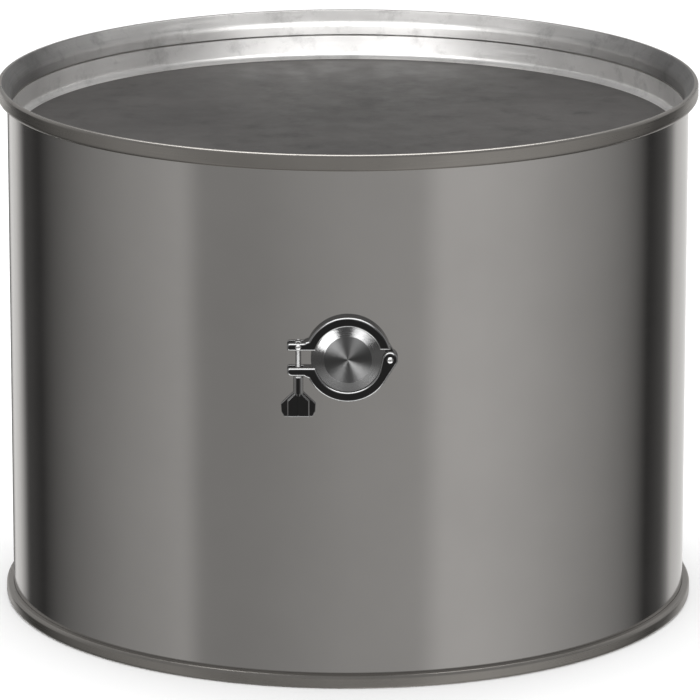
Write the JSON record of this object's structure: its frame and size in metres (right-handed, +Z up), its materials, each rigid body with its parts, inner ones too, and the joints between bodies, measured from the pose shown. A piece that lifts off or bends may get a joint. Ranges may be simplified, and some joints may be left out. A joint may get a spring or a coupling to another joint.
{
  "type": "stainless steel drum with side port",
  "caption": "Squat stainless steel drum with rolled chimes, recessed flat heads and a side sanitary port closed by an end cap in a hinged wing-nut clamp.",
  "frame": {"origin": "on the drum's axis, in the plane that the bottom chime stands on, 5.5 mm below the middle of the bottom head", "axes": "+Z up along the drum's axis; -Y out of the side port; +X to the right when the port faces the viewer, towards the clamp's hinge"},
  "size_m": [0.771, 0.8038, 0.583],
  "materials": {
    "satin_steel": "satin, fine circumferential polish",
    "dark_panel": "matt, dark, unpolished pickled sheet",
    "weld_steel": "dressed weld metal, slightly duller than the sheet",
    "cast_steel": "bright tumbled and polished investment casting",
    "turned_steel": "face turned, fine concentric tool marks",
    "wire_steel": "plain drawn wire, enclosed",
    "gasket": "moulded off-white elastomer"
  },
  "bodies": {
    "vessel": {"shell": "satin_steel", "shell_seam_weld": "weld_steel", "top_chime": "satin_steel", "top_chime_wire": "wire_steel", "top_head": "dark_panel", "top_head_weld": "weld_steel", "bottom_chime": "satin_steel", "bottom_chime_wire": "wire_steel", "bottom_head": "satin_steel", "bottom_head_weld": "weld_steel", "port_ferrule": "turned_steel", "port_weld": "weld_steel", "port_gasket": "gasket", "port_cap": "turned_steel"},
    "lower_jaw": {"clamp_lower_jaw": "cast_steel", "hinge_pin": "cast_steel"},
    "upper_jaw": {"clamp_upper_jaw": "cast_steel", "bolt_pin": "cast_steel"},
    "bolt": {"swing_bolt": "cast_steel"},
    "washer": {"nut_washer": "cast_steel"},
    "nut": {"wing_nut": "cast_steel"}
  },
  "joints": [
    {"name": "clamp_swivel", "type": "hinge", "parent": "vessel", "child": "lower_jaw", "pos_m": [0, -0.406, 0.371], "axis": [0, 1, 0], "continuous": true},
    {"name": "jaw_open", "type": "hinge", "parent": "lower_jaw", "child": "upper_jaw", "pos_m": [0.0441, -0.406, 0.371], "axis": [0, 1, 0], "range_deg": [0, 11]},
    {"name": "bolt_swing", "type": "hinge", "parent": "upper_jaw", "child": "bolt", "pos_m": [-0.0519, -0.406, 0.3852], "axis": [0, 1, 0], "range_deg": [0, 140]},
    {"name": "nut_travel", "type": "slide", "parent": "bolt", "child": "washer", "axis": [0, 0, -1], "range_m": [0, 0.02]},
    {"name": "nut_spin", "type": "hinge", "parent": "washer", "child": "nut", "pos_m": [-0.0519, -0.406, 0.331], "axis": [0, 0, -1], "range_deg": [0, 5640]}
  ],
  "couplings": [
    {"joint": "nut_travel", "follows": "nut_spin", "m_per_rad": 0.00020213},
    {"joint": "jaw_open", "follows": "nut_spin", "ratio": 0.0019435}
  ]
}
